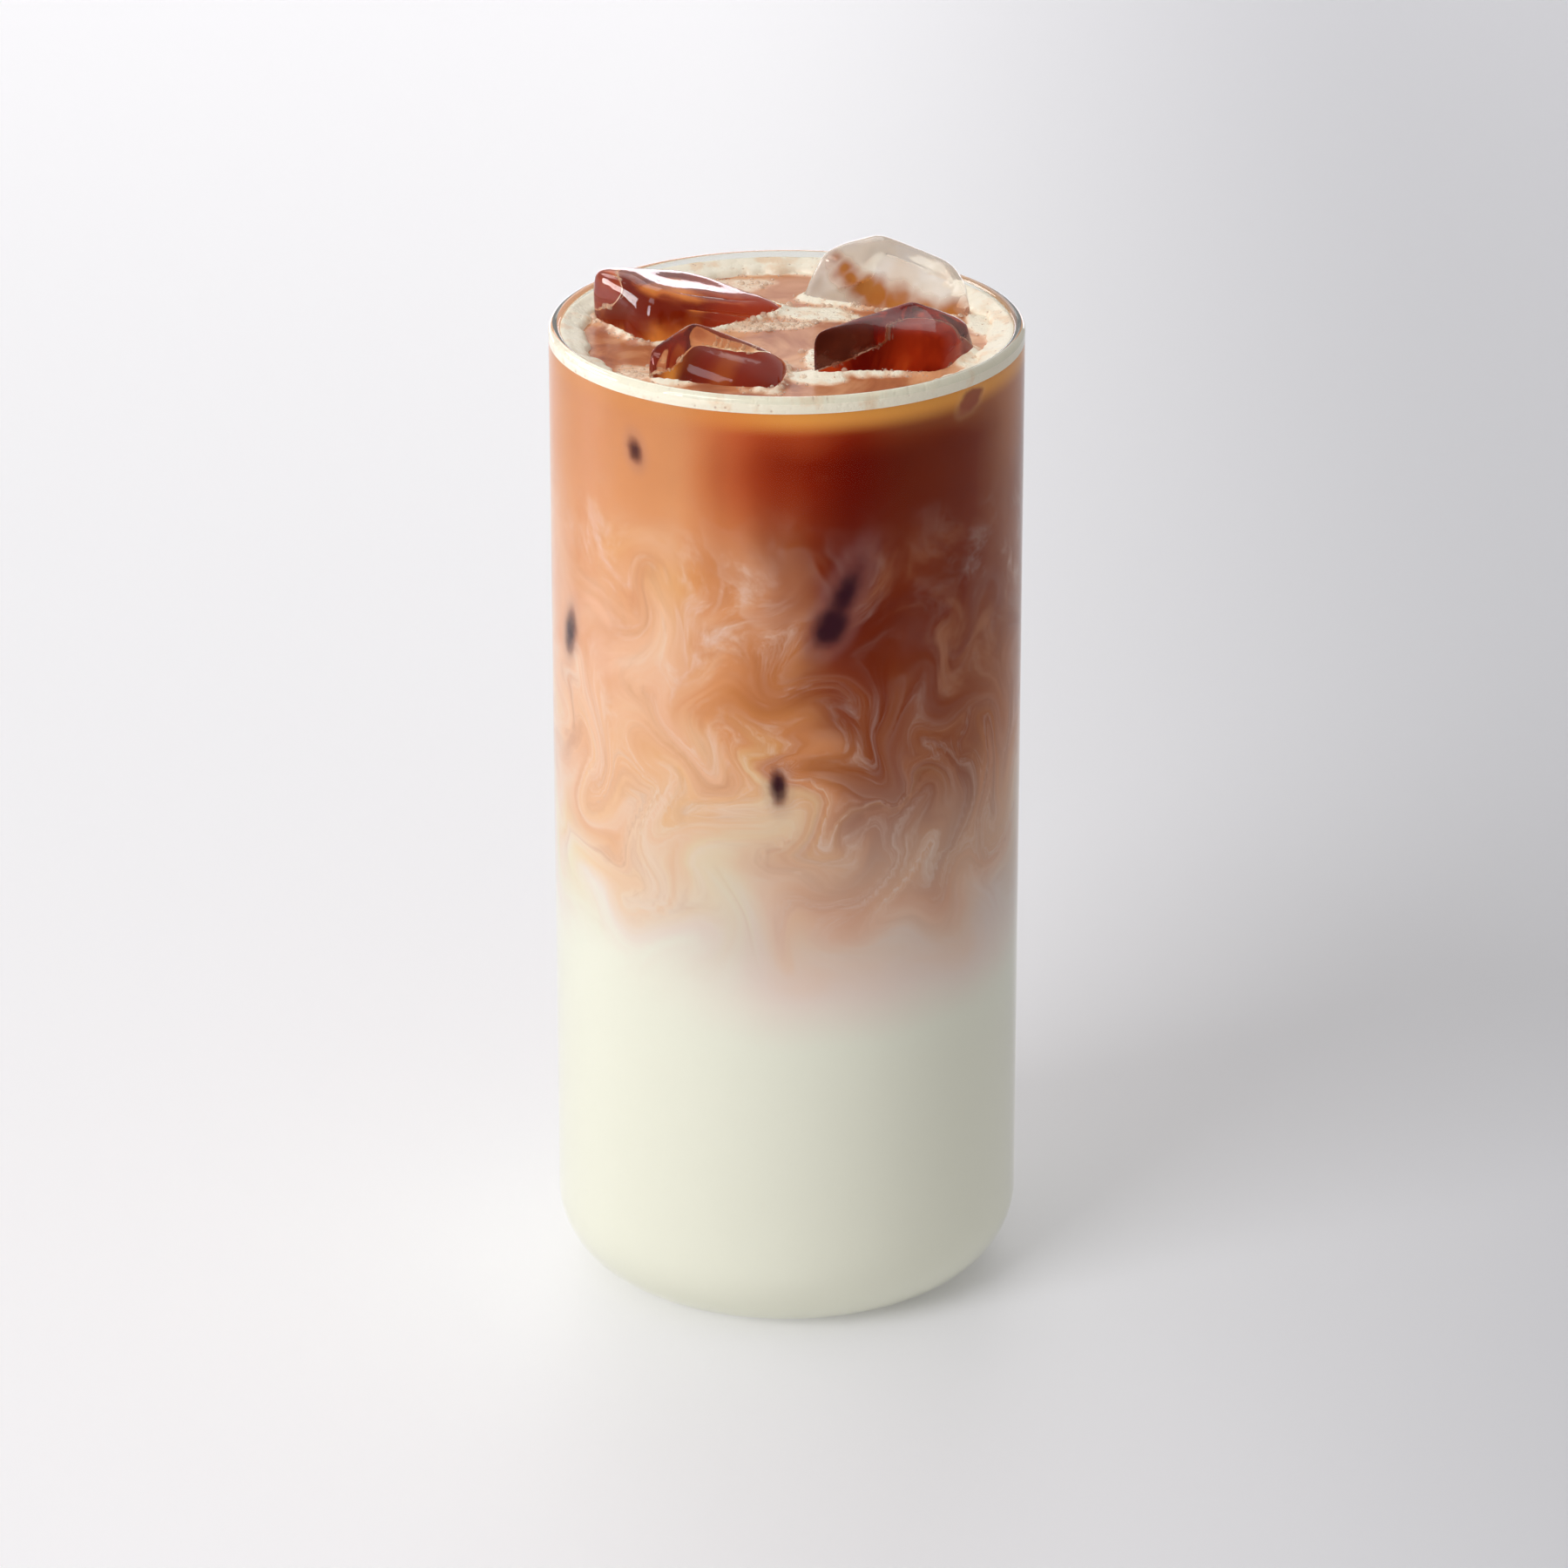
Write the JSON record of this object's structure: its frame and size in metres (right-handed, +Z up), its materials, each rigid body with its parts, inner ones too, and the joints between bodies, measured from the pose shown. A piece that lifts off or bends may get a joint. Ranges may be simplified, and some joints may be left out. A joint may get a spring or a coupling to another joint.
{
  "type": "iced latte in a glass",
  "caption": "Iced latte in a tall straight clear glass: pale milk below, marbled coffee above, a froth ring at the wall and ice standing out of the top.",
  "frame": {"origin": "centre of the glass's foot, on the surface it stands on", "axes": "+Z up along the glass's axis; -Y faces the viewer, with the dark coffee plume to the right of it"},
  "size_m": [0.07, 0.07, 0.157],
  "materials": {
    "clear_glass": "clear polished glass with a faint green edge",
    "milk": "opaque milk, seen through the glass",
    "marbled_latte": "milk and coffee in swirls",
    "coffee": "coffee with milk, cloudy",
    "froth": "fine cream froth with bubbles",
    "ice": "wet clear ice over coffee"
  },
  "bodies": {
    "root": {"glass": "clear_glass", "milk": "milk", "marbled": "marbled_latte", "coffee": "coffee", "froth": "froth", "ice_left": "ice", "ice_back": "ice", "ice_front": "ice", "ice_right": "ice"}
  },
  "joints": []
}
